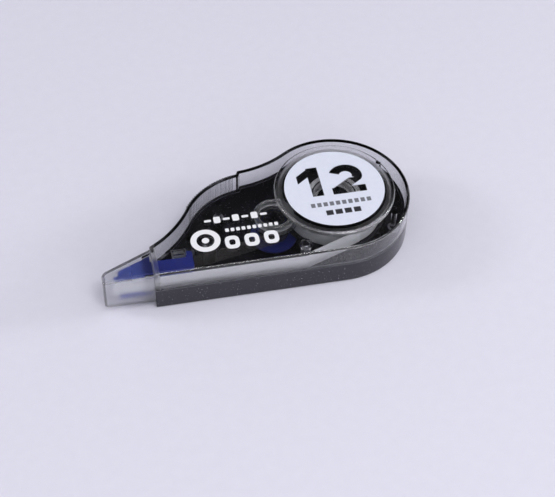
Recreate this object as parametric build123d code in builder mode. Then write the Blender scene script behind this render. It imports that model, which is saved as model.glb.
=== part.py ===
"""Correction tape roller: a teardrop housing with a clear upper half and a black lower half, a blue applicator
head under a clear pull-off cap, and a geared supply spool and take-up reel inside.

Frame: millimetres, +Z up. The roller lies on its flat underside. X runs along the straight side, from the
applicator (-X) to the round end (+X), and the straight side faces -Y. The origin is the middle of the bounding
box at table height, and the round end's centre is on y = 0.
"""
from build123d import *

import os
from math import acos, asin, atan2, cos, degrees, hypot, pi, radians, sin, tan

# ---------------------------------------------------------------- driving dimensions
overall_length = 88.8
bulb_radius = 21.05
body_height = 14.2
parting_height = 7.2
wall = 0.9
tray_wall = 1.45
lip_height = 0.8
floor_thickness = 1.3
roof_thickness = 1.2
top_round = 0.5
base_round = 0.7
seam_chamfer = 0.15
end_wall = 1.1
rib_count = 21
rib_radius = 0.28
rib_margin = 7.0

# raised round dial over the supply spool
dial_radius = 17.0
dial_rise = 1.0
dial_wall = 1.2
dial_round = 0.55
label_radius = 14.1
label_thickness = 0.12

# plan outline: tangent arcs on the far side, then the applicator end
shoulder_radius = 30.0
shoulder_angle = 33.0
shoulder_sweep = 28.7
grip_radius = 22.0
grip_heading = 188.0
grip_sweep = 52.0
grip_step = (0.65, 1.2)
throat_radius = 31.6
throat_sweep = 30.5
nose_far_y = -16.6
nose_round_far = 2.2
nose_round_near = 1.2

# posts and pins that join the halves
post_radius = 1.5
pin_radius = 0.8
pin_low = 4.0

# end of the body, neck and cap
neck_x = -30.6
neck_length = 2.4
cap_inset = 0.25
cap_wall = 0.8
cap_gap = 0.06
cap_floor_height = 2.3
cap_roof_height = 13.4
cap_nose_drop = 0.6
neck_wall = 0.5
cap_round = 0.5
cap_seat = 0.08
mouth_stop = 0.2

# tape, gears and axles
tape_width = 5.0
tape_middle = 8.0
ribbon_thickness = 0.15
ribbon_gap = 0.05
guide_floor = 5.2
guide_roof = 10.8
flange_top = 11.2
roller_low = 5.0
roller_high = 11.7
roll_radius = 13.6
gear_module = 0.7
supply_teeth = 42
takeup_teeth = 12
centre_distance = gear_module * (supply_teeth + takeup_teeth) / 2
takeup_bearing_angle = 195.8
gear_bottom = 1.9
gear_thickness = 1.8
gear_pad = (11.8, 5.6, 0.3)
supply_addendum = 0.55
takeup_addendum = 0.65
dedendum = 0.75
running_gap = 0.05
thrust_gap = 0.2
supply_axle_radius = 2.2
supply_axle_high = 11.9
supply_collar_radius = 3.2
centre_pin_radius = 0.75
centre_pin_low = 9.6
centre_socket_low = 8.9
centre_boss_radius = 1.5
takeup_axle_radius = 1.9
takeup_collar_radius = 3.0
takeup_hub_radius = 2.9
snap_finger = (1.0, 0.9)
snap_low = 0.08
snap_high = 0.5
split_width = 0.6
split_length = 6.0
split_depth = 1.5
keeper_ring = (5.5, 4.6)
roller_axle_radius = 0.95
roller_collar_radius = 1.9
roller_axle_rise = 0.6
roller_keeper = (1.7, 1.05)
sleeve_radius = 3.9
sleeve_high = 11.2
clutch_ring_radius = 4.35
clutch_ring_span = (7.2, 8.6)
clutch_room_span = (6.4, 9.4)
core_radius = 6.0
core_wall = 0.7
core_high = 12.1
cup_floor = 10.6
lower_flange_radius = 14.6
lower_flange_span = (4.5, 5.1)
upper_flange_radius = 14.4
rim_radius = 7.6
takeup_core_radius = 3.6
takeup_disc_thickness = 0.4
film_wrap_radius = 4.15
takeup_flange_radius = 6.6
roller_radius = 1.4
return_roller_radius = 1.75

# applicator head
tip_centre = (-40.7, -17.75)
tip_radius = 0.5
guide_low = 3.8
guide_high = 11.9
guide_front_x = -40.0
guide_rear_x = -31.0
guide_near_y = -18.65
guide_step = (-16.1, -12.2)
blade_rear_y = -16.25
tongue_end_x = -19.4
tongue_far_y = -12.85
tongue_round = 0.9
lock_post = (-23.05, -13.95)
lock_post_size = (3.6, 1.9)
lock_post_wall = 0.45

# ---------------------------------------------------------------- places worked out from them
bulb = (overall_length / 2 - bulb_radius, 0.0)
spool = (bulb[0] - 0.1, 0.4)
takeup = (
    spool[0] + centre_distance * cos(radians(takeup_bearing_angle)),
    spool[1] + centre_distance * sin(radians(takeup_bearing_angle)),
)
rail_y = -bulb_radius
nose_x = -overall_length / 2 - cap_inset
tape_low = tape_middle - tape_width / 2
tape_high = tape_middle + tape_width / 2
ribbon_offset = ribbon_gap + ribbon_thickness / 2
gear_top = gear_bottom + gear_thickness
ceiling = body_height - roof_thickness
dial_top = body_height + dial_rise
dial_ceiling = dial_top - roof_thickness
neck_low = cap_floor_height + cap_wall + cap_gap
neck_high = cap_roof_height - cap_wall - cap_gap
feed_roller = (11.5, tip_centre[1] - tip_radius + roller_radius)
return_roller = (-14.15, -11.2)
joining_posts = [(38.2, 9.0), (38.0, -10.2), (-9.5, 2.0), (-19.6, -9.6)]

os.makedirs("parts", exist_ok=True)


def export_piece(part, name):
    """Labels a finished part and writes it as parts/NAME.step."""
    part.label = name
    export_step(part, f"parts/{name}.step")
    print(f"{name}: {len(part.solids())} solid(s), {part.volume:.1f} mm3")


def belt_points(centre_a, radius_a, side_a, centre_b, radius_b, side_b):
    """Ends of the straight run between two circles. side is +1 where the circle is left of travel, -1 right."""
    across = centre_b[0] - centre_a[0], centre_b[1] - centre_a[1]
    heading = atan2(across[1], across[0])
    heading -= asin((side_b * radius_b - side_a * radius_a) / hypot(*across))
    left = -sin(heading), cos(heading)
    start = tuple(c - side_a * radius_a * n for c, n in zip(centre_a, left))
    end = tuple(c - side_b * radius_b * n for c, n in zip(centre_b, left))
    return start, end


def gear_points(centre, teeth, addendum, first_tooth_angle, backlash=0.12, pressure_angle=20.0):
    """Corner points of an involute spur gear, with three or four points on each flank."""
    pitch = gear_module * teeth / 2
    base = pitch * cos(radians(pressure_angle))
    root, tip = pitch - dedendum, pitch + addendum
    involute = tan(radians(pressure_angle)) - radians(pressure_angle)
    half_tooth = (pi / 2 - backlash / gear_module / 2) / teeth
    flank = []
    for radius in (max(base, root), pitch, tip):
        roll = acos(base / radius)
        flank.append((radius, half_tooth + involute - (tan(roll) - roll)))
    if root < base:
        flank.insert(0, (root, flank[0][1]))
    points = []
    for tooth in range(teeth):
        middle = radians(first_tooth_angle) + tooth * 2 * pi / teeth
        corners = [(r, middle - half) for r, half in flank]
        corners += [(r, middle + half) for r, half in reversed(flank)]
        points += [(centre[0] + r * cos(a), centre[1] + r * sin(a)) for r, a in corners]
    return points


# ---------------------------------------------------------------- plan outlines
with BuildSketch() as overall_plan:
    with BuildLine():
        rail = Line((nose_x, rail_y), (bulb[0], rail_y))
        round_end = CenterArc(bulb, bulb_radius, -90, 180 + shoulder_angle)
        shoulder = JernArc(round_end @ 1, round_end % 1, shoulder_radius, -shoulder_sweep)
        step = Line(shoulder @ 1, shoulder @ 1 - Vector(*grip_step))
        heading = Vector(cos(radians(grip_heading)), sin(radians(grip_heading)))
        grip = JernArc(step @ 1, heading, grip_radius, grip_sweep)
        throat = JernArc(grip @ 1, grip % 1, throat_radius, -throat_sweep)
        Polyline(throat @ 1, (nose_x, nose_far_y), (nose_x, rail_y))
    make_face()
    fillet(overall_plan.vertices().group_by(Axis.X)[0].sort_by(Axis.Y)[-1], nose_round_far)
    fillet(overall_plan.vertices().group_by(Axis.X)[0].sort_by(Axis.Y)[0], nose_round_near)

grip_centre = grip.arc_center
grip_middle_angle = grip_heading - 90 + grip_sweep / 2


def plan_slice(inset, x_from, x_to):
    """The plan outline moved inwards by inset and kept only between two X positions."""
    with BuildSketch() as result:
        add(overall_plan.sketch)
        if inset:
            offset(amount=-inset, kind=Kind.INTERSECTION, mode=Mode.REPLACE)
        with Locations(((x_from + x_to) / 2, 0)):
            Rectangle(x_to - x_from, 4 * bulb_radius, mode=Mode.INTERSECT)
    return result.sketch


end_x = overall_length / 2 + 1
lip_near_y = -9.0
body_plan = plan_slice(0, neck_x, end_x)
cavity_plan = plan_slice(wall, neck_x + end_wall, end_x)
tray_cavity_plan = plan_slice(tray_wall, neck_x + end_wall, end_x)
with BuildSketch() as lip_plan:
    add(plan_slice(wall + running_gap, neck_x + end_wall + 0.1, end_x))
    with Locations((0, lip_near_y + bulb_radius)):
        Rectangle(overall_length, 2 * bulb_radius, mode=Mode.INTERSECT)
neck_plan = plan_slice(cap_inset + cap_wall + cap_gap, neck_x - neck_length, neck_x)
passage_plan = plan_slice(
    cap_inset + cap_wall + cap_gap + neck_wall, neck_x - neck_length - 1, neck_x + 1.2
)


def add_block(sketch, low, high, mode=Mode.ADD):
    """Extrudes a plan sketch from one height to another in the current part."""
    with BuildSketch(Plane.XY.offset(low)) as block:
        add(sketch)
    extrude(block.sketch, amount=high - low, mode=mode)


def add_post(place, radius, low, high, mode=Mode.ADD):
    """Adds or cuts an upright cylinder in the current part."""
    with BuildSketch(Plane.XY.offset(low)) as disc:
        with Locations(place):
            Circle(radius)
    extrude(disc.sketch, amount=high - low, mode=mode)


def add_ring(place, outer, inner, low, high):
    """Adds an upright tube to the current part."""
    with BuildSketch(Plane.XY.offset(low)) as ring:
        with Locations(place):
            Circle(outer)
            Circle(inner, mode=Mode.SUBTRACT)
    extrude(ring.sketch, amount=high - low)


def add_grip_ribs(low, high):
    """Fine upright ribs along the thumb grip, half sunk in the wall."""
    spread = grip_sweep - rib_margin
    with BuildSketch(Plane.XY.offset(low)) as ribs:
        with Locations((grip_centre.X, grip_centre.Y)):
            with PolarLocations(
                grip_radius, rib_count, grip_middle_angle - spread / 2, spread, endpoint=True
            ):
                Circle(rib_radius)
    extrude(ribs.sketch, amount=high - low)


# ---------------------------------------------------------------- housing
with BuildPart() as lower_shell:
    add_block(body_plan, 0, parting_height)
    fillet(lower_shell.faces().sort_by(Axis.Z)[0].edges(), base_round)
    # thin lip on the far side that enters the upper half and lines the two up
    add_block(lip_plan.sketch, parting_height, parting_height + lip_height)
    add_block(tray_cavity_plan, floor_thickness, parting_height + lip_height, Mode.SUBTRACT)
    add_block(passage_plan, neck_low + neck_wall, parting_height, Mode.SUBTRACT)
    add_grip_ribs(base_round, parting_height)
    # supply axle with a thrust collar and a blind hole in its end
    add_post(spool, supply_collar_radius, floor_thickness, gear_bottom - running_gap)
    add_post(spool, supply_axle_radius, gear_bottom - running_gap, supply_axle_high)
    add_post(
        spool, centre_pin_radius + running_gap, centre_socket_low, supply_axle_high, Mode.SUBTRACT
    )
    # take-up axle, split by a cross slot, with four snap fingers over the reel
    add_post(takeup, takeup_collar_radius, floor_thickness, gear_bottom - running_gap)
    add_post(takeup, takeup_axle_radius, gear_bottom - running_gap, flange_top + snap_high)
    with BuildSketch(Plane.XY.offset(flange_top + snap_low)):
        with Locations(takeup):
            with PolarLocations(takeup_axle_radius, 4):
                Rectangle(*snap_finger)
    extrude(amount=snap_high - snap_low)
    with BuildSketch(Plane.XY.offset(guide_roof - split_depth)):
        with Locations(takeup):
            Rectangle(split_length, split_width, rotation=45)
            Rectangle(split_length, split_width, rotation=-45)
    extrude(amount=2 * split_depth, mode=Mode.SUBTRACT)
    for place in (feed_roller, return_roller):
        add_post(place, roller_collar_radius, floor_thickness, roller_low - running_gap)
        add_post(
            place, roller_axle_radius, roller_low - running_gap, roller_high + roller_axle_rise
        )
    # hollow posts that take the pins of the upper half
    for place in joining_posts:
        add_post(place, post_radius, floor_thickness, parting_height - running_gap)
        add_post(
            place, pin_radius + running_gap, pin_low - thrust_gap, parting_height, Mode.SUBTRACT
        )

with BuildPart() as upper_shell:
    add_block(body_plan, parting_height, body_height)
    fillet(upper_shell.faces().sort_by(Axis.Z)[-1].edges(), top_round)
    chamfer(upper_shell.faces().sort_by(Axis.Z)[0].edges(), seam_chamfer)
    add_post(spool, dial_radius, body_height, dial_top)
    fillet(upper_shell.faces().sort_by(Axis.Z)[-1].edges(), dial_round)
    add_block(cavity_plan, parting_height, ceiling, Mode.SUBTRACT)
    add_post(spool, dial_radius - dial_wall, ceiling, dial_ceiling, Mode.SUBTRACT)
    add_block(neck_plan, neck_low, neck_high)
    add_block(passage_plan, neck_low + neck_wall, neck_high - neck_wall, Mode.SUBTRACT)
    add_grip_ribs(parting_height + seam_chamfer, body_height - top_round)
    # centre pin for the supply axle, and a round rib that keeps the take-up reel down
    add_post(spool, centre_pin_radius, centre_pin_low, dial_ceiling)
    add_post(spool, centre_boss_radius, core_high, dial_ceiling)
    add_ring(takeup, *keeper_ring, flange_top + thrust_gap, ceiling)
    for place in (feed_roller, return_roller):
        add_ring(place, *roller_keeper, roller_high + running_gap, ceiling)
    for place in joining_posts:
        add_post(place, pin_radius, pin_low, ceiling)
    # hollow post that holds the applicator head's hook
    with BuildSketch(Plane.XY.offset(guide_roof)):
        with Locations(lock_post):
            Rectangle(*lock_post_size)
            Rectangle(
                lock_post_size[0] - 2 * lock_post_wall,
                lock_post_size[1] - 2 * lock_post_wall,
                mode=Mode.SUBTRACT,
            )
    extrude(amount=ceiling - guide_roof)


def cap_form(inset, rear_x):
    """Closed cap shape: the plan outline cut to a side profile that thins towards the nose."""
    low, high = cap_floor_height + inset, cap_roof_height - inset
    front = nose_x - 1
    nose_low, nose_high = low + cap_nose_drop, high - cap_nose_drop
    with BuildPart() as form:
        with BuildSketch():
            add(plan_slice(cap_inset + inset, front, rear_x))
        extrude(amount=body_height)
        with BuildSketch(Plane.XZ):
            with BuildLine():
                Polyline(
                    (front, nose_low),
                    (rear_x, low),
                    (rear_x, high),
                    (front, nose_high),
                    close=True,
                )
            make_face()
        extrude(amount=2 * bulb_radius, both=True, mode=Mode.INTERSECT)
    return form.part


with BuildPart() as tip_cap:
    add(cap_form(0, neck_x - cap_seat))
    for side in (0, -1):
        rim = tip_cap.faces().sort_by(Axis.Z)[side].edges()
        fillet([edge for edge in rim if edge.center().X < neck_x - 2 * cap_seat], cap_round)
    add(cap_form(cap_wall, neck_x + 1), mode=Mode.SUBTRACT)
    # straight mouth that slides over the neck, ending in a small stop
    mouth_plan = plan_slice(cap_inset + cap_wall, neck_x - neck_length - mouth_stop, neck_x + 1)
    add_block(
        mouth_plan, cap_floor_height + cap_wall, cap_roof_height - cap_wall, Mode.SUBTRACT
    )

# ---------------------------------------------------------------- applicator head
head_inset = cap_inset + cap_wall + cap_gap + neck_wall + 0.1

with BuildSketch() as guide_plan:
    with BuildLine():
        Polyline(
            (guide_front_x, guide_near_y),
            (guide_front_x, guide_step[0]),
            (neck_x - neck_length - 0.3, guide_step[1]),
            (guide_rear_x, guide_step[1]),
            (guide_rear_x, guide_near_y),
            close=True,
        )
    make_face()
    add(plan_slice(head_inset, nose_x, guide_rear_x + 0.1), mode=Mode.INTERSECT)

with BuildSketch() as tongue_plan:
    lock_right = lock_post[0] + lock_post_size[0] / 2
    lock_near = lock_post[1] - lock_post_size[1] / 2
    with BuildLine():
        Polyline(
            (guide_rear_x - 0.4, guide_near_y),
            (tongue_end_x, guide_near_y),
            (tongue_end_x, tongue_far_y),
            (lock_right, tongue_far_y),
            (lock_right, lock_near),
            (guide_rear_x - 0.4, lock_near),
            close=True,
        )
    make_face()
    fillet(tongue_plan.vertices().group_by(Axis.X)[-1], tongue_round)

with BuildSketch() as blade_plan:
    with BuildLine():
        Polyline(
            (tip_centre[0], tip_centre[1] - tip_radius),
            (guide_rear_x, tip_centre[1] - tip_radius),
            (guide_rear_x, blade_rear_y),
            (tip_centre[0], tip_centre[1] + tip_radius),
            close=True,
        )
    make_face()
    with Locations(tip_centre):
        Circle(tip_radius)

with BuildPart() as applicator_head:
    add_block(guide_plan.sketch, guide_low, guide_floor)
    add_block(guide_plan.sketch, guide_roof, guide_high)
    add_block(blade_plan.sketch, guide_floor, guide_roof)
    add_block(tongue_plan.sketch, guide_roof, guide_high)

# ---------------------------------------------------------------- supply spool
spool_bearing = degrees(atan2(takeup[1] - spool[1], takeup[0] - spool[0]))

with BuildSketch() as supply_teeth_plan:
    with BuildLine():
        Polyline(
            *gear_points(
                spool, supply_teeth, supply_addendum, spool_bearing + 180 / supply_teeth
            ),
            close=True,
        )
    make_face()

with BuildPart() as supply_gear:
    add_block(supply_teeth_plan.sketch, gear_bottom, gear_top)
    add_ring(spool, gear_pad[0], gear_pad[1], gear_top, gear_top + gear_pad[2])
    add_post(spool, sleeve_radius, gear_bottom, sleeve_high)
    add_post(spool, supply_axle_radius + running_gap, 0, body_height, Mode.SUBTRACT)

with BuildPart() as clutch_ring:
    add_ring(spool, clutch_ring_radius, sleeve_radius, *clutch_ring_span)

with BuildPart() as spool_core:
    add_post(spool, core_radius, gear_top + gear_pad[2] + 0.1, core_high)
    add_post(spool, sleeve_radius + running_gap, 0, body_height, Mode.SUBTRACT)
    add_post(spool, clutch_ring_radius + running_gap, *clutch_room_span, Mode.SUBTRACT)
    add_post(spool, core_radius - core_wall, cup_floor, body_height, Mode.SUBTRACT)
    add_ring(spool, lower_flange_radius, core_radius - core_wall / 2, *lower_flange_span)

with BuildPart() as spool_flange:
    upper_flange_high = guide_roof - running_gap
    add_ring(spool, upper_flange_radius, core_radius, tape_high + running_gap, upper_flange_high)
    add_ring(spool, rim_radius, core_radius, upper_flange_high, core_high)

with BuildPart() as tape_roll:
    add_ring(spool, roll_radius, core_radius, tape_low, tape_high)

# ---------------------------------------------------------------- take-up reel
with BuildSketch() as takeup_teeth_plan:
    with BuildLine():
        Polyline(
            *gear_points(takeup, takeup_teeth, takeup_addendum, spool_bearing + 180), close=True
        )
    make_face()

with BuildPart() as takeup_gear:
    add_block(takeup_teeth_plan.sketch, gear_bottom, gear_top)
    add_post(takeup, takeup_hub_radius, gear_bottom, flange_top)
    add_post(takeup, takeup_axle_radius + running_gap, 0, body_height, Mode.SUBTRACT)

with BuildPart() as takeup_core:
    drum_low = gear_top + thrust_gap
    add_ring(takeup, takeup_core_radius, takeup_hub_radius, drum_low, guide_roof)
    add_ring(
        takeup, takeup_flange_radius, takeup_core_radius, drum_low, drum_low + takeup_disc_thickness
    )

with BuildPart() as takeup_flange:
    add_ring(takeup, takeup_flange_radius, takeup_hub_radius, guide_roof, flange_top)

with BuildPart() as takeup_film:
    add_ring(takeup, film_wrap_radius, takeup_core_radius, tape_low, tape_high)

# ---------------------------------------------------------------- guide rollers
with BuildPart() as feed_sleeve:
    add_ring(feed_roller, roller_radius, roller_axle_radius + running_gap, roller_low, roller_high)

with BuildPart() as return_sleeve:
    add_ring(
        return_roller, return_roller_radius, roller_axle_radius + running_gap, roller_low, roller_high
    )


# ---------------------------------------------------------------- tape runs
def bearing(centre, point):
    """Angle in degrees of a point seen from a centre."""
    return degrees(atan2(point[1] - centre[1], point[0] - centre[0]))


def wrap(centre, radius, first, last, turn):
    """Arc of tape round a centre from one tangent point to the next; turn is +1 for anticlockwise."""
    start = bearing(centre, first)
    sweep = (turn * (bearing(centre, last) - start)) % 360
    return CenterArc(centre, radius, start, turn * sweep)


at_roll = roll_radius + ribbon_offset
at_feed = roller_radius + ribbon_offset
at_tip = tip_radius + ribbon_offset
at_return = return_roller_radius + ribbon_offset
at_takeup = film_wrap_radius + ribbon_offset
off_roll, on_feed = belt_points(spool, at_roll, -1, feed_roller, at_feed, -1)
off_feed, on_tip = belt_points(feed_roller, at_feed, -1, tip_centre, at_tip, -1)
off_tip, on_return = belt_points(tip_centre, at_tip, -1, return_roller, at_return, 1)
off_return, on_takeup = belt_points(return_roller, at_return, 1, takeup, at_takeup, 1)

with BuildPart() as feed_tape:
    with BuildSketch(Plane.XY.offset(tape_low)):
        with BuildLine():
            Line(off_roll, on_feed)
            wrap(feed_roller, at_feed, on_feed, off_feed, -1)
            Line(off_feed, on_tip)
            wrap(tip_centre, at_tip, on_tip, off_tip, -1)
        trace(line_width=ribbon_thickness)
    extrude(amount=tape_width)

with BuildPart() as return_film:
    with BuildSketch(Plane.XY.offset(tape_low)):
        with BuildLine():
            Line(off_tip, on_return)
            wrap(return_roller, at_return, on_return, off_return, 1)
            Line(off_return, on_takeup)
        trace(line_width=ribbon_thickness)
    extrude(amount=tape_width)

# ---------------------------------------------------------------- label
with BuildPart() as dial_label:
    add_post(spool, label_radius, dial_top, dial_top + label_thickness)

pieces = {
    "lower_shell": lower_shell,
    "upper_shell": upper_shell,
    "tip_cap": tip_cap,
    "applicator_head": applicator_head,
    "supply_gear": supply_gear,
    "clutch_ring": clutch_ring,
    "spool_core": spool_core,
    "spool_flange": spool_flange,
    "tape_roll": tape_roll,
    "takeup_gear": takeup_gear,
    "takeup_core": takeup_core,
    "takeup_flange": takeup_flange,
    "takeup_film": takeup_film,
    "feed_roller": feed_sleeve,
    "return_roller": return_sleeve,
    "feed_tape": feed_tape,
    "return_film": return_film,
    "dial_label": dial_label,
}
for name, piece in pieces.items():
    export_piece(piece.part, name)
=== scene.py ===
"""Looks of a correction tape roller: clear half over a black tray, blue applicator under a clear cap."""

from math import cos, pi, radians, sin

import bpy
import numpy as np
from mathutils import Matrix, Vector


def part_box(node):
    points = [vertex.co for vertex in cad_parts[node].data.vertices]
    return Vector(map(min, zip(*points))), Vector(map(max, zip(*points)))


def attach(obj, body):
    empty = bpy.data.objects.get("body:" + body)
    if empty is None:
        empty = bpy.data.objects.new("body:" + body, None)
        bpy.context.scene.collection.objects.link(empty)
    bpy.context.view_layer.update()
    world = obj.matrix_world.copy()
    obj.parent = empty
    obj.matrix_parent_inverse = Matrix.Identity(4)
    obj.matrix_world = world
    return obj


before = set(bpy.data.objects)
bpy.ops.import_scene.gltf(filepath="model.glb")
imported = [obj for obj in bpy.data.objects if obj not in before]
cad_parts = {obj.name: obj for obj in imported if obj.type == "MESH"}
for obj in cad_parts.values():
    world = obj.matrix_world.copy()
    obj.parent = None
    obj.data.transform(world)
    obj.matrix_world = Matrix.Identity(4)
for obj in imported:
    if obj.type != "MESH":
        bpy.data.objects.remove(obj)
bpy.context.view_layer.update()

# ------------------------------------------------------------------ camera
# A longish lens looks down on the straight side from its applicator end, a little rolled. It aims at the
# clear top above the middle of the straight side.
MM = 0.001
view_azimuth = radians(-12.7)
view_elevation = radians(49.2)
view_roll = radians(1.75)
view_distance = 378 * MM
view_target = Vector((3.35, -17.85, 14.2)) * MM

back = Vector(
    (
        sin(view_azimuth) * cos(view_elevation),
        -cos(view_azimuth) * cos(view_elevation),
        sin(view_elevation),
    )
)
level = Vector((cos(view_azimuth), sin(view_azimuth), 0))
upward = back.cross(level)
camera_right = level * cos(view_roll) + upward * sin(view_roll)
camera_up = upward * cos(view_roll) - level * sin(view_roll)

camera_data = bpy.data.cameras.new("camera")
camera_data.sensor_width = 36
camera_data.lens = 90.8
camera_data.clip_start = 0.01
camera = bpy.data.objects.new("camera", camera_data)
camera.matrix_world = Matrix.Translation(view_target + back * view_distance) @ Matrix(
    (camera_right, camera_up, back)
).transposed().to_4x4()
bpy.context.scene.collection.objects.link(camera)
bpy.context.scene.camera = camera


# ------------------------------------------------------------------ lower shell
# The tray of glossy black styrene that carries the axles and posts. It is injection moulded in one piece,
# so its skin has a faint orange peel, and handling leaves dull smears and a little dust on it. The narrow
# face where the halves meet is left matt, and its colour is raised towards light grey as a painted highlight
# along the parting line.
class Value:
    """Wraps a socket so that shader maths reads as an expression."""

    def __init__(self, tree, socket):
        self.tree, self.socket = tree, socket

    def math(self, operation, *others):
        """Adds a Math node on this value and the other values or numbers, and returns what it gives."""
        node = self.tree.nodes.new("ShaderNodeMath")
        node.operation = operation
        for slot, term in zip(node.inputs, (self, *others)):
            if isinstance(term, Value):
                self.tree.links.new(term.socket, slot)
            else:
                slot.default_value = term
        return Value(self.tree, node.outputs[0])

    def __add__(self, other):
        return self.math("ADD", other)

    def __sub__(self, other):
        return self.math("SUBTRACT", other)

    def __mul__(self, other):
        return self.math("MULTIPLY", other)

    def __truediv__(self, other):
        return self.math("DIVIDE", other)

    __radd__, __rmul__ = __add__, __mul__

    def __rsub__(self, other):
        return (self * -1).math("ADD", other)

    def __abs__(self):
        return self.math("ABSOLUTE")

    def root(self):
        return self.math("SQRT")

    def wave(self, length):
        """Sine of the value with the given wavelength, from -1 to 1."""
        return (self * (2 * pi / length)).math("SINE")

    def low(self, other):
        """The lower of two values."""
        return self.math("MINIMUM", other)

    def high(self, other):
        """The higher of two values."""
        return self.math("MAXIMUM", other)

    def past(self, edge, soft=0.06):
        """0 before the edge and 1 after it, with a straight ramp of width soft between."""
        return ((self - edge) / soft + 0.5).high(0.0).low(1.0)

    def within(self, low, high, soft=0.06):
        """1 between two edges and 0 outside them."""
        return self.past(low, soft) * (1 - self.past(high, soft))


class Finish:
    """A material with its nodes; surface() sets the shader and node() adds any other node."""

    def __init__(self, name):
        self.material = bpy.data.materials.new(name)
        self.material.use_nodes = True
        self.tree = self.material.node_tree
        self.shader = self.tree.nodes["Principled BSDF"]
        self.spot = self.node("ShaderNodeTexCoord", "Object")

    def feed(self, socket, term):
        """Links a value to a socket, or sets the socket's own number, colour or vector."""
        if isinstance(term, Value):
            self.tree.links.new(term.socket, socket)
        else:
            socket.default_value = term

    def surface(self, **sockets):
        """Sets the shader's sockets, with spaces in their names written as underscores."""
        for name, term in sockets.items():
            self.feed(self.shader.inputs[name.replace("_", " ")], term)
        return self

    def node(self, kind, output=0, settings=None, **sockets):
        """Adds a node of a type, with its settings first and then its sockets, and returns one output."""
        made = self.tree.nodes.new(kind)
        for name, term in (settings or {}).items():
            setattr(made, name, term)
        for name, term in sockets.items():
            self.feed(made.inputs[name.replace("_", " ")], term)
        return Value(self.tree, made.outputs[output])

    def place(self):
        """X, Y and Z of the point on the piece, in millimetres of the object's own frame."""
        apart = self.tree.nodes.new("ShaderNodeSeparateXYZ")
        self.tree.links.new(self.spot.socket, apart.inputs[0])
        return [Value(self.tree, out) * 1000 for out in apart.outputs]

    def grain(self, size, detail=2.0, stretch=(1, 1, 1)):
        """Cloudy noise from 0 to 1 whose lumps are about size millimetres, longer along a stretched axis."""
        spread = tuple(1 / s for s in stretch)
        put = self.node("ShaderNodeMapping", Vector=self.spot, Scale=spread)
        return self.node("ShaderNodeTexNoise", Vector=put, Scale=1000 / size, Detail=detail)

    def tint(self, amount, under, over):
        """Colour that goes from under to over as amount goes from 0 to 1."""
        factor_in, first_colour, second_colour, colour_out = 0, 6, 7, 2
        mix = self.tree.nodes.new("ShaderNodeMix")
        mix.data_type = "RGBA"
        self.feed(mix.inputs[factor_in], amount)
        self.feed(mix.inputs[first_colour], under)
        self.feed(mix.inputs[second_colour], over)
        return Value(self.tree, mix.outputs[colour_out])

    def relief(self, height, depth):
        """Surface normal for a height from 0 to 1 that stands for depth millimetres."""
        return self.node("ShaderNodeBump", Height=height, Distance=depth * MM, Strength=1.0)

    def put_on(self, *names):
        """Gives the finish to CAD nodes by name or to pieces."""
        for name in names:
            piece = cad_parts[name] if isinstance(name, str) else name
            if not piece.material_slots:
                piece.data.materials.append(self.material)
            for slot in piece.material_slots:
                slot.material = self.material
        return self


parting_height = 7.2
dust_and_seam_highlight_grey = (0.40, 0.40, 0.45, 1)
black = Finish("black_styrene")
smears = black.grain(7, 3, (2, 1, 1)).past(0.55, 0.3)
dust = black.grain(0.40, 1).past(0.735, 0.03)
_, _, tray_height = black.place()
seam_face_and_painted_highlight = tray_height.within(parting_height - 0.08, parting_height + 0.4, 0.04)
# The dust specks are real. The lighter grey on the seam face is a painted highlight of the parting line.
black.surface(
    Base_Color=black.tint(dust * 0.6 + seam_face_and_painted_highlight * 0.35, (0.0100, 0.0085, 0.0160, 1), dust_and_seam_highlight_grey),
    Roughness=0.09 + smears * 0.10 + dust * 0.3 + seam_face_and_painted_highlight * 0.4,
    Normal=black.relief(black.grain(1.4, 1), 0.004),
    IOR=1.55,
).put_on("lower_shell")

# ------------------------------------------------------------------ supply gear and slip clutch
# A wheel of black acetal turns on the tray's axle and drives the reel. The clutch is a black rubber ring
# pressed on the gear's sleeve, inside the spool core.
def axis_of(node):
    """X and Y of a round node's upright axis, in millimetres."""
    return [(low + high) / 2 / MM for low, high in zip(*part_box(node))][:2]


def round_about(finish, axis):
    """Distance in millimetres from an upright axis."""
    x, y, _ = finish.place()
    across, along = x - axis[0], y - axis[1]
    return (across * across + along * along).root()


supply_axis = axis_of("supply_gear")
gear = Finish("gear_black")
turning_marks = round_about(gear, supply_axis).wave(0.9) * 0.5 + 0.5
gear.surface(
    Base_Color=gear.tint(gear.grain(5, 2), (0.010, 0.010, 0.013, 1), (0.022, 0.021, 0.026, 1)),
    Roughness=0.24 + gear.grain(0.8, 2) * 0.18,
    Normal=gear.relief(turning_marks, 0.006),
).put_on("supply_gear")

rubber = Finish("clutch_rubber")
rubber.surface(
    Base_Color=rubber.tint(rubber.grain(0.5, 3), (0.012, 0.012, 0.012, 1), (0.030, 0.029, 0.028, 1)),
    Roughness=0.7 + rubber.grain(0.6, 2) * 0.2,
    Normal=rubber.relief(rubber.grain(0.25, 2), 0.02),
).put_on("clutch_ring")

# ------------------------------------------------------------------ supply spool
# The core and its lower flange are one grey-black moulding. A second flange with a round cup snaps on top
# once the tape is wound, and keeps the tape's edge from rising. The cup's wall and rim are painted near
# white as painted highlights, which make up for the shade under the label.
cup_wall, cup_rim = (4.6, 5.9), (6.3, 7.7)
painted_highlight_white = (0.90, 0.90, 0.92, 1)
spool = Finish("spool_black")
reach = round_about(spool, supply_axis)
# Painted highlight: the cup's wall and rim are tinted near white to stand in for light on them.
cup_painted_highlights = reach.within(*cup_wall, 0.2) * 0.8 + reach.within(*cup_rim, 0.3)
spool.surface(
    Base_Color=spool.tint(cup_painted_highlights.low(1.0), (0.012, 0.011, 0.015, 1), painted_highlight_white),
    Roughness=0.22 + spool.grain(1.1, 2) * 0.16,
    Normal=spool.relief(reach.wave(0.55) * 0.5 + 0.5, 0.008),
).put_on("spool_core", "spool_flange")

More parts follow.
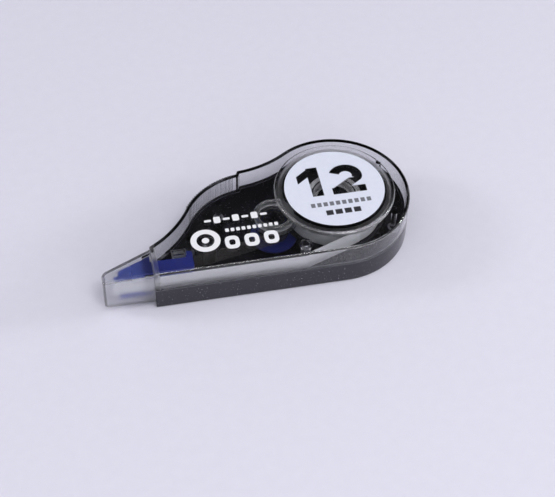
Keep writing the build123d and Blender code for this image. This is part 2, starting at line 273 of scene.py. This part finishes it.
# ------------------------------------------------------------------ tape roll
# Twelve metres of white coated tape on a thin carrier. The edges of the turns show as fine rings, and a
# few turns stand a little proud of the rest.
tape = Finish("white_tape")
turns = round_about(tape, supply_axis)
edge_rings = turns.wave(0.42) * 0.5 + 0.5
proud_turns = tape.grain(1.3, 2, (1, 1, 6))
tape_shadow = edge_rings * 0.35 + proud_turns * 0.3
tape.surface(
    Base_Color=tape.tint(tape_shadow, (0.84, 0.85, 0.87, 1), (0.62, 0.63, 0.66, 1)),
    Roughness=0.55 + proud_turns * 0.2,
    Normal=tape.relief(edge_rings, 0.012),
).put_on("tape_roll")

# ------------------------------------------------------------------ take-up reel
# A small gear with a hub, a blue drum pressed over it, the used carrier film wound on the drum, and a thin
# clear disc on top. All four turn together on the tray's split axle.
takeup_axis = axis_of("takeup_gear")

hub = Finish("takeup_black")
hub.surface(
    Base_Color=hub.tint(hub.grain(2, 2), (0.012, 0.012, 0.018, 1), (0.030, 0.030, 0.042, 1)),
    Roughness=0.26 + hub.grain(0.7, 2) * 0.16,
    Normal=hub.relief(round_about(hub, takeup_axis).wave(0.7) * 0.5 + 0.5, 0.006),
).put_on("takeup_gear")

drum = Finish("drum_blue")
drum.surface(
    Base_Color=drum.tint(drum.grain(1.8, 2), (0.016, 0.022, 0.16, 1), (0.030, 0.042, 0.26, 1)),
    Roughness=0.28 + drum.grain(0.7, 2) * 0.15,
    Normal=drum.relief(round_about(drum, takeup_axis).wave(0.6) * 0.5 + 0.5, 0.006),
).put_on("takeup_core")

disc = Finish("clear_disc")
disc.surface(
    Base_Color=(0.93, 0.94, 0.98, 1),
    Roughness=0.03 + disc.grain(2.2, 2) * 0.05,
    Normal=disc.relief(round_about(disc, takeup_axis).wave(0.5) * 0.5 + 0.5, 0.003),
    IOR=1.5,
    Transmission_Weight=1.0,
).put_on("takeup_flange")

# ------------------------------------------------------------------ carrier film
# The spent carrier is a thin clear film with a brownish cast. It runs back from the tip round a roller and
# is wound on the drum, where its turns darken it.
film = Finish("carrier_film")
rub_lines = film.grain(0.5, 2, (20, 20, 1))
film.surface(
    Base_Color=film.tint(rub_lines, (0.20, 0.18, 0.17, 1), (0.34, 0.32, 0.30, 1)),
    Roughness=0.18 + rub_lines * 0.2,
    Alpha=0.20 + rub_lines * 0.15,
).put_on("return_film")

wound_film = Finish("wound_film")
film_turns = round_about(wound_film, takeup_axis).wave(0.16) * 0.5 + 0.5
wound_film.surface(
    Base_Color=wound_film.tint(film_turns, (0.05, 0.048, 0.055, 1), (0.16, 0.15, 0.15, 1)),
    Roughness=0.2 + film_turns * 0.15,
    Normal=wound_film.relief(film_turns, 0.008),
).put_on("takeup_film")

# ------------------------------------------------------------------ guide rollers
# Two small grey acetal sleeves turn on pins of the tray and lead the tape round its corners. The tape
# polishes a band round the middle of each.
tape_edges = (5.4, 10.6)
roller = Finish("roller_grey")
_, _, roller_height = roller.place()
polished = roller_height.within(*tape_edges, 0.4)
roller.surface(
    Base_Color=roller.tint(roller.grain(1.2, 2), (0.045, 0.046, 0.055, 1), (0.085, 0.086, 0.100, 1)),
    Roughness=0.42 - polished * 0.18 + roller.grain(0.5, 2) * 0.1,
    Normal=roller.relief(roller_height.wave(0.35) * 0.5 + 0.5, 0.004),
).put_on("feed_roller", "return_roller")

# ------------------------------------------------------------------ tape on its way to the tip
# The straight run of coated tape stands on edge behind the clear wall. The dry coating is matt and very
# slightly uneven across its width.
run = Finish("coated_tape")
coating = run.grain(0.9, 3, (5, 5, 1))
run.surface(
    Base_Color=run.tint(coating, (0.84, 0.85, 0.88, 1), (0.96, 0.96, 0.98, 1)),
    Roughness=0.6 + coating * 0.15,
    Normal=run.relief(coating, 0.01),
).put_on("feed_tape")

# ------------------------------------------------------------------ applicator head
# Deep blue acetal: two guide plates with the pressing edge between them, and a tongue that hooks round a
# post under the clear top. The skin is satin, with flow marks, and the thin plates are paler at the front.
neck_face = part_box("lower_shell")[0][0] / MM
front_blue = (0.085, 0.125, 0.46, 1)
head = Finish("blue_acetal")
flow_marks = head.grain(1.6, 3, (6, 1, 1))
head_x, _, _ = head.place()
paler_front = 1 - head_x.past(neck_face - 2.4, 3.0)
shade = head.tint(flow_marks, (0.020, 0.032, 0.25, 1), (0.034, 0.050, 0.36, 1))
head.surface(
    Base_Color=head.tint(paler_front * (0.6 + flow_marks * 0.4), shade, front_blue),
    Roughness=0.24 + flow_marks * 0.16,
    Normal=head.relief(flow_marks, 0.008),
).put_on("applicator_head")

# ------------------------------------------------------------------ upper shell
# The clear half, injection moulded in water-clear styrene with a polished skin. The wall is thick enough
# to bend the light, and there are faint flow lines and hair scratches from rubbing in its pack. The ribs and
# walls that stand inside it are left matt by the mould.
rib_reach = (4.3, 5.7)
hook_post_x, hook_post_y = (-25.1, -21.0), (-15.1, -12.8)
dial_wall_reach, dial_wall_height = (14.6, 16.4), (12.9, 14.2)
rib_tops = 13.3

clear = Finish("clear_styrene")
scratches = clear.grain(0.25, 2, (40, 3, 3)).past(0.66, 0.06)
ripple = clear.grain(6, 1)
shell_x, shell_y, shell_z = clear.place()
reel_rib = round_about(clear, takeup_axis).within(*rib_reach, 0.2)
end_wall = shell_x.within(neck_face - 0.1, neck_face + 1.5, 0.2)
dial_reach = round_about(clear, supply_axis)
dial_wall = dial_reach.within(*dial_wall_reach, 0.5) * shell_z.within(*dial_wall_height, 0.1)
hook_post = shell_x.within(*hook_post_x, 0.1) * shell_y.within(*hook_post_y, 0.1)
ribs = (reel_rib + end_wall + hook_post) * (1 - shell_z.past(rib_tops, 0.2))
matt_faces = (ribs + dial_wall).low(1.0)
clear.surface(
    Base_Color=(0.975, 0.978, 0.99, 1),
    Roughness=0.012 + scratches * 0.08 + matt_faces * 0.42,
    Normal=clear.relief(ripple, 0.018),
    IOR=1.57,
    Transmission_Weight=1.0,
).put_on("upper_shell")

# ------------------------------------------------------------------ print on the clear top
# White ink, pad printed on the clear top: a ring emblem, three rounded frames and two rows of dashes.
dial_rise = 1.0
ink_rise = 0.02
ink_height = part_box("dial_label")[0][2] / MM - dial_rise + ink_rise


def slab_marks(rows, corners=32):
    """Flat marks on the top, from rows of x, y, half length a, half height b, hole and squareness n.

    Each is a closed outline about its centre: x is a times cos t to the power 2/n and y is b times sin t to
    the power 2/n, each with its own sign, for t round a full turn. A mark with a hole is the band between
    that outline and the same outline scaled by hole.
    """
    points, faces = [], []
    turn = np.linspace(0, 2 * np.pi, corners, endpoint=False)
    circle = np.stack((np.cos(turn), np.sin(turn)), axis=1)
    place_on_ring = np.arange(corners)
    next_on_ring = (place_on_ring + 1) % corners
    for x, y, half_long, half_high, hole, squareness in rows:
        ring = np.sign(circle) * np.abs(circle) ** (2 / squareness) * (half_long, half_high)
        start = sum(len(block) for block in points)
        for scale in (1, hole) if hole else (1,):
            points.append(np.column_stack((ring * scale + (x, y), np.full(corners, ink_height))))
        if hole:
            inner = (next_on_ring + corners, place_on_ring + corners)
            faces += (np.stack((place_on_ring, next_on_ring, *inner), axis=1) + start).tolist()
        else:
            faces.append((place_on_ring + start).tolist())
    return np.concatenate(points) * MM, faces


emblem_x, emblem_y = -15.3, -11.6
emblem = [(emblem_x, emblem_y, 4.1, 4.0, 0.60, 2.0), (emblem_x, emblem_y, 1.0, 1.0, 0, 2.0)]
frames = [(-8.2 + 5.4 * step, -13.4, 2.0, 2.3, 0.42, 3.0) for step in range(3)]
small_dashes = [(-8.9 + 1.52 * step, -8.9, 0.52, 0.62, 0, 5.0) for step in range(10)]
dash_heights = (0.42, 1.17, 0.42, 1.17, 0.42, 1.17, 0.42)
tall_dashes = [(-13.6 + 2.6 * step, -4.7, 0.95, high, 0, 5.0) for step, high in enumerate(dash_heights)]
ink_points, ink_faces = slab_marks(emblem + frames + small_dashes + tall_dashes)
print_mesh = bpy.data.meshes.new("top_print")
print_mesh.from_pydata(ink_points.tolist(), [], ink_faces)
top_print = bpy.data.objects.new("top_print", print_mesh)
bpy.context.scene.collection.objects.link(top_print)
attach(top_print, "case")

ink = Finish("white_ink")
pinholes = ink.grain(0.22, 2).past(0.72, 0.05)
ink.surface(
    Base_Color=ink.tint(pinholes, (0.86, 0.86, 0.88, 1), (0.55, 0.55, 0.58, 1)),
    Roughness=0.38 + ink.grain(0.4, 2) * 0.15,
    Normal=ink.relief(ink.grain(0.3, 2), 0.006),
).put_on(top_print)

# ------------------------------------------------------------------ dial label
# Round white film stuck on the raised dial. The size number is left unprinted, so that the cup of the
# reel shows through it, and two rows of small dark marks stand below.
label = Finish("label_film")
label_axis = axis_of("dial_label")
label_x, label_y, _ = label.place()
u, v = label_x - label_axis[0], label_y - label_axis[1]

# The digits are strokes in millimetres about the label's middle: a stem and a slanted flag make the 1, and
# a half ring, a slanted neck and a foot make the 2.
one_stem = u.within(-6.6, -3.4) * v.within(-2.4, 8.6)
one_rise = v - (u + 6.6) * 0.70
one_flag = one_rise.within(5.2, 8.1) * u.within(-9.8, -5.0) * (1 - v.past(8.6))
bowl_x, bowl_y = (u - 4.05) / 1.12, v - 4.05
bowl_reach = (bowl_x * bowl_x + bowl_y * bowl_y).root()
two_bowl = bowl_reach.within(1.65, 4.25) * (bowl_y + bowl_x * 0.45).past(0.0)
two_slope = abs((u - 6.6) * 0.535 - (v - 2.6) * 0.845)
two_neck = (1 - two_slope.past(1.35)) * v.within(-2.6, 3.1) * u.within(-0.75, 8.2)
two_foot = u.within(-0.75, 8.85) * v.within(-2.6, -0.1)
number = one_stem.high(one_flag).high(two_bowl).high(two_neck).high(two_foot)

small_step = ((u + 8.2) / 1.76).math("FRACT")
small_row = small_step.within(0.16, 0.84, 0.05) * u.within(-8.2, 9.4) * v.within(-6.5, -5.0)
large_step = ((u + 4.6) / 2.6).math("FRACT")
large_row = large_step.within(0.12, 0.88, 0.04) * u.within(-4.6, 5.8) * v.within(-9.9, -8.1)
marks = small_row * 0.8 + large_row
fibres = label.grain(1.5, 3)
label.surface(
    Base_Color=label.tint(
        marks.low(1.0),
        label.tint(fibres, (0.70, 0.73, 0.84, 1), (0.77, 0.80, 0.90, 1)),
        (0.03, 0.03, 0.035, 1),
    ),
    Roughness=0.34 + fibres * 0.12,
    Alpha=1 - number,
    Normal=label.relief(label.grain(0.35, 2), 0.004),
).put_on("dial_label")

# ------------------------------------------------------------------ tip cap
# Clear pull-off cap over the applicator. Its top is polished, and its side walls are lightly frosted so that
# fingers grip them. It grips the neck of the clear half.
frost_top = 12.5
cap = Finish("cap_clear")
_, _, cap_height = cap.place()
frosted = 1 - cap_height.past(frost_top, 0.5)
cap_grain = cap.grain(0.28, 2)
cap.surface(
    Base_Color=(0.975, 0.978, 0.995, 1),
    Roughness=0.04 + frosted * 0.26 + cap_grain * 0.04,
    Normal=cap.relief(cap_grain * frosted + cap.grain(4, 1) * 0.4, 0.010),
    IOR=1.5,
    Transmission_Weight=1.0,
).put_on("tip_cap")

# ------------------------------------------------------------------ floor
# Plain pale sheet of matt paper.
floor_reach = 1.5
floor_mesh = bpy.data.meshes.new("floor")
floor_mesh.from_pydata(
    [
        (-floor_reach, -floor_reach, 0),
        (floor_reach, -floor_reach, 0),
        (floor_reach, floor_reach, 0),
        (-floor_reach, floor_reach, 0),
    ],
    [],
    [(0, 1, 2, 3)],
)
floor = bpy.data.objects.new("floor", floor_mesh)
bpy.context.scene.collection.objects.link(floor)
paper = Finish("floor_paper")
paper_fibres = paper.grain(3, 3)
paper.surface(
    Base_Color=paper.tint(paper_fibres, (0.71, 0.70, 0.79, 1), (0.75, 0.74, 0.83, 1)),
    Roughness=0.7,
    Normal=paper.relief(paper.grain(0.5, 2), 0.01),
).put_on(floor)

# ------------------------------------------------------------------ light
# A pale tent with softboxes overhead, in front and at each end. The tent has one dark opening, placed where
# the clear top reflects it towards the camera, so that the top shows the black inside.
opening = Vector((0.144, 0.637, 0.757))
opening_edge, opening_soft = 0.84, 0.16
tent_glow, opening_glow = 0.74, 0.04

world = bpy.data.worlds.new("studio")
bpy.context.scene.world = world
world.use_nodes = True
sky = world.node_tree
background = sky.nodes["Background"]
background.inputs["Color"].default_value = (0.93, 0.93, 1.0, 1)
facing = sky.nodes.new("ShaderNodeVectorMath")
facing.operation = "DOT_PRODUCT"
facing.inputs[1].default_value = opening
sky.links.new(sky.nodes.new("ShaderNodeTexCoord").outputs["Generated"], facing.inputs[0])
dimming = Value(sky, facing.outputs["Value"]).past(opening_edge, opening_soft)
glow = tent_glow - dimming * (tent_glow - opening_glow)
sky.links.new(glow.socket, background.inputs["Strength"])
bpy.context.scene.view_settings.view_transform = "Standard"


def softbox(name, place, size, power):
    """Square area light that faces the middle of the object."""
    light = bpy.data.lights.new(name, "AREA")
    light.size = size
    light.energy = power
    lamp = bpy.data.objects.new(name, light)
    turned = Vector(place).to_track_quat("Z", "Y").to_matrix().to_4x4()
    lamp.matrix_world = Matrix.Translation(place) @ turned
    bpy.context.scene.collection.objects.link(lamp)


softbox("overhead", (0.10, -0.35, 0.65), 0.20, 1.4)
softbox("left", (-0.75, 0.20, 0.40), 0.16, 1.4)
softbox("right", (0.75, -0.02, 0.22), 0.14, 2.0)
softbox("front", (0.15, -0.75, 0.40), 0.40, 0.8)
